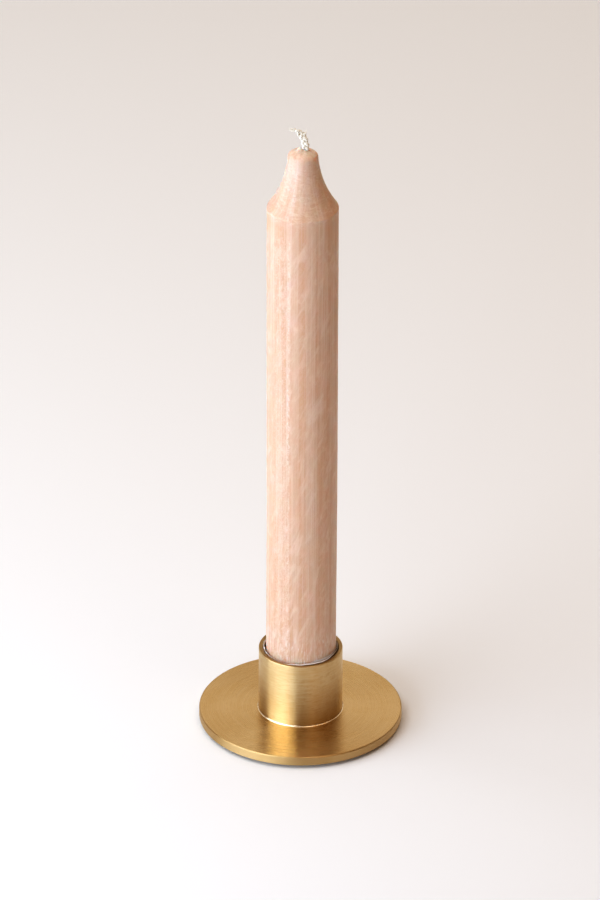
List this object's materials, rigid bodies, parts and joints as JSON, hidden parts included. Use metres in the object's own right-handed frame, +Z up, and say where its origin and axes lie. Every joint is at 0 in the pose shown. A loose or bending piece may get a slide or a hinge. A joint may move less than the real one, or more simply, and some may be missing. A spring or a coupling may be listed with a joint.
{
  "type": "candle holder",
  "caption": "Flat round brass disc with a short upright tube brazed to it, holding a tall crown candle that lifts out.",
  "frame": {"origin": "centre of the felt pad's underside, which is what the holder stands on", "axes": "+Z up along the candle, +X to the right and -Y towards the front; the wick bends to -X"},
  "size_m": [0.064, 0.064, 0.2078],
  "materials": {
    "brass_disc": "satin",
    "brass_tube": "satin",
    "braze_alloy": "gloss",
    "felt": "matte",
    "wax": "satin",
    "cotton_wick": "matte",
    "clear_film": "gloss"
  },
  "bodies": {
    "holder": {"felt_pad": "felt", "base_disc": "brass_disc", "candle_tube": "brass_tube", "braze_fillet": "braze_alloy"},
    "candle": {"candle": "wax", "wick": "cotton_wick", "film_wrap": "clear_film"}
  },
  "joints": [
    {"name": "candle_lift", "type": "slide", "parent": "holder", "child": "candle", "axis": [0, 0, 1], "range_m": [0, 0.03]}
  ]
}
